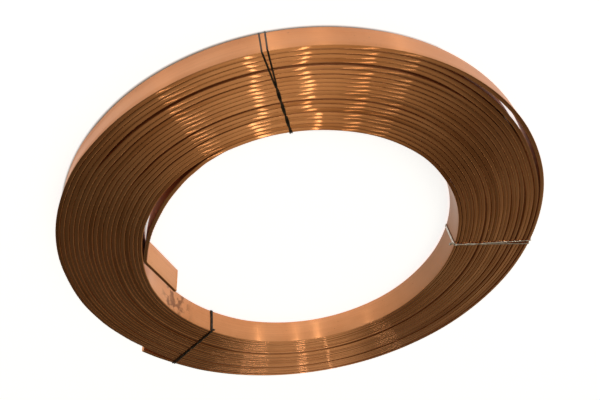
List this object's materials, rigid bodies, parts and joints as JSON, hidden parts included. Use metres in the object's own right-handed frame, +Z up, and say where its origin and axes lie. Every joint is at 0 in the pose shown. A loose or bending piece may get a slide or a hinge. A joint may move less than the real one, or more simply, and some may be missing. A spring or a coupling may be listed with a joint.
{
  "type": "coil of flat copper earthing strip",
  "caption": "Flat-lying coil of bare flat copper earthing strip, standing on its edges, with loose inner and outer ends and doubled wire ties around its ring.",
  "frame": {"origin": "on the floor under the centre of the coil's outline, at the level of the undersides of the ties it rests on", "axes": "+Z up along the coil's axis; +X to the right and -Y towards the viewer's side of the coil as it lies, with the outer end of the strip at 29 degrees from +X towards +Y"},
  "size_m": [0.4367, 0.4397, 0.0279],
  "materials": {
    "copper": "bare rolled copper, lightly tarnished, semi-gloss",
    "tie_wire": "annealed steel binding wire, dull"
  },
  "bodies": {
    "root": {"strip_coil": "copper", "tie_wire_1": "tie_wire", "tie_wire_2": "tie_wire", "tie_wire_3": "tie_wire"}
  },
  "joints": []
}
